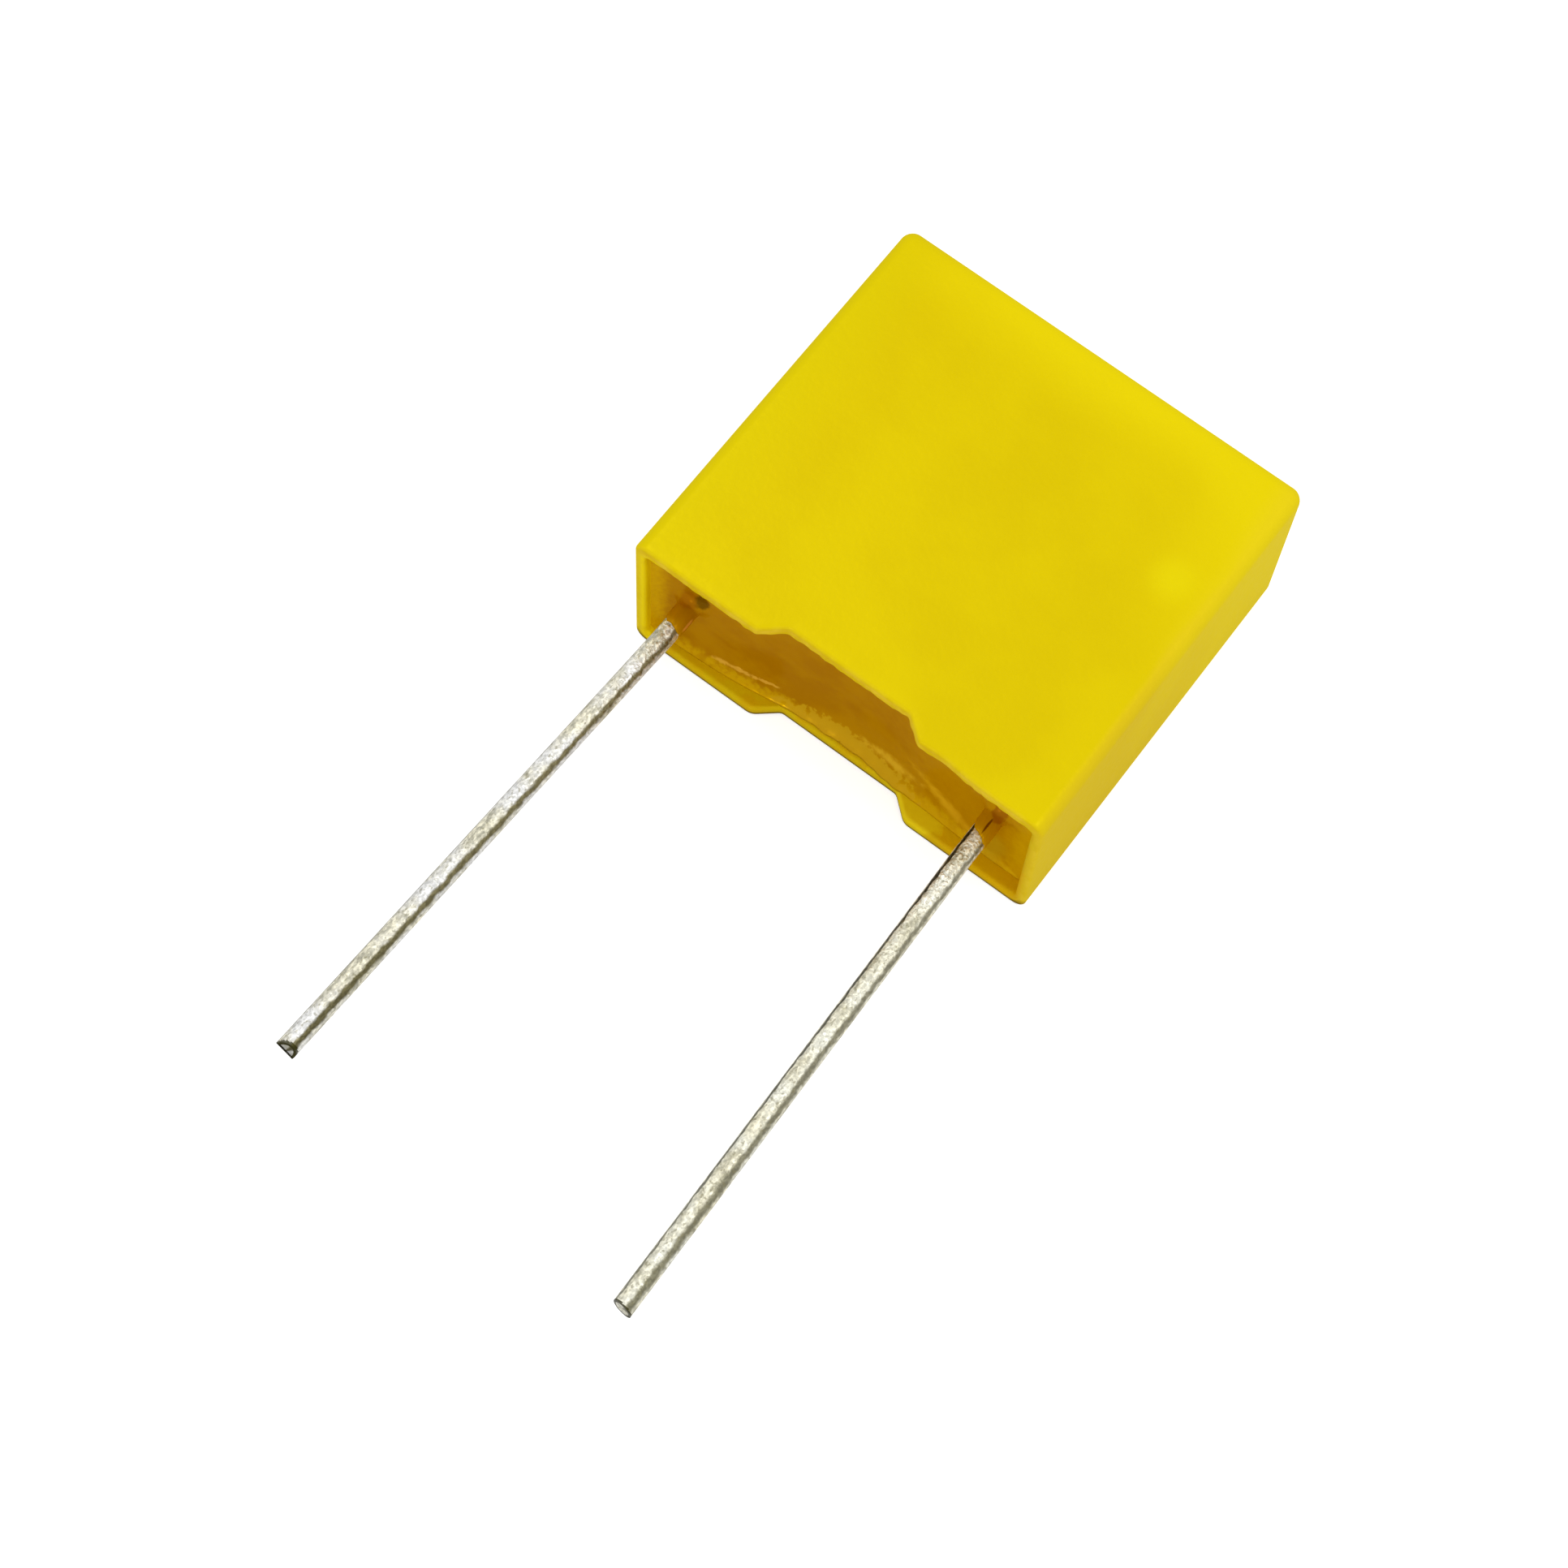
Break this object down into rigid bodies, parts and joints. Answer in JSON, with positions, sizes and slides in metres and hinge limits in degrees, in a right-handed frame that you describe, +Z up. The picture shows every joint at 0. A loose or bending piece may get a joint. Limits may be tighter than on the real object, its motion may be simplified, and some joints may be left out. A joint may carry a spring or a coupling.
{
  "type": "film safety capacitor",
  "caption": "Box-type film capacitor for through-hole boards: moulded case filled with cast resin round a wound film element, with straight wire leads.",
  "frame": {"origin": "centre of the case's back face, the large face that the part lies on", "axes": "+X across the case from the left lead to the right lead, +Y towards the closed end of the case, so the leads point to -Y, +Z up through the thickness from the back face to the front face"},
  "size_m": [0.0132, 0.0278, 0.006],
  "materials": {
    "case_plastic": "moulded polyester, yellow, half gloss",
    "resin": "cast epoxy, amber brown, glossy",
    "metallised_film": "metallised polypropylene film, wound and pressed",
    "sprayed_zinc": "porous sprayed zinc, matt grey",
    "tinned_wire": "tinned wire, bright with a mottled skin"
  },
  "bodies": {
    "root": {"case": "case_plastic", "potting_resin": "resin", "film_winding": "metallised_film", "end_spray_left": "sprayed_zinc", "end_spray_right": "sprayed_zinc", "lead_left": "tinned_wire", "lead_right": "tinned_wire"}
  },
  "joints": []
}
